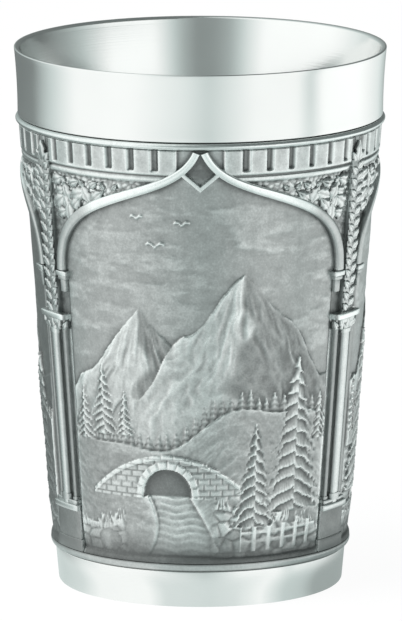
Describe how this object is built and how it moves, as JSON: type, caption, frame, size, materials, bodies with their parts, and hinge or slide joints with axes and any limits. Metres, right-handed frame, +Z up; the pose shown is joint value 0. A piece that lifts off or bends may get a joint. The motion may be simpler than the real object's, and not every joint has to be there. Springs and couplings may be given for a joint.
{
  "type": "pewter beaker",
  "caption": "Tapered pewter drinking beaker: a polished cup with lip and foot bands, dressed with cast relief plates, ogee arches and clustered columns.",
  "frame": {"origin": "centre of the foot's underside, on the table", "axes": "+Z up along the beaker's axis, -Y towards the middle of the first relief plate"},
  "size_m": [0.0754, 0.0754, 0.11],
  "materials": {
    "polished_pewter": "turned and polished pewter",
    "bright_pewter": "rubbed bright cast pewter",
    "antique_pewter": "cast pewter with a dark patina in its hollows"
  },
  "bodies": {
    "root": {"cup_body": "polished_pewter", "base_disc": "polished_pewter", "foot_band": "polished_pewter", "upper_bead_ring": "bright_pewter", "lower_bead_ring": "bright_pewter", "relief_plate_1": "antique_pewter", "relief_plate_2": "antique_pewter", "relief_plate_3": "antique_pewter", "arch_moulding_1": "bright_pewter", "arch_moulding_2": "bright_pewter", "arch_moulding_3": "bright_pewter", "clustered_column_1": "bright_pewter", "clustered_column_2": "bright_pewter", "clustered_column_3": "bright_pewter"}
  },
  "joints": []
}
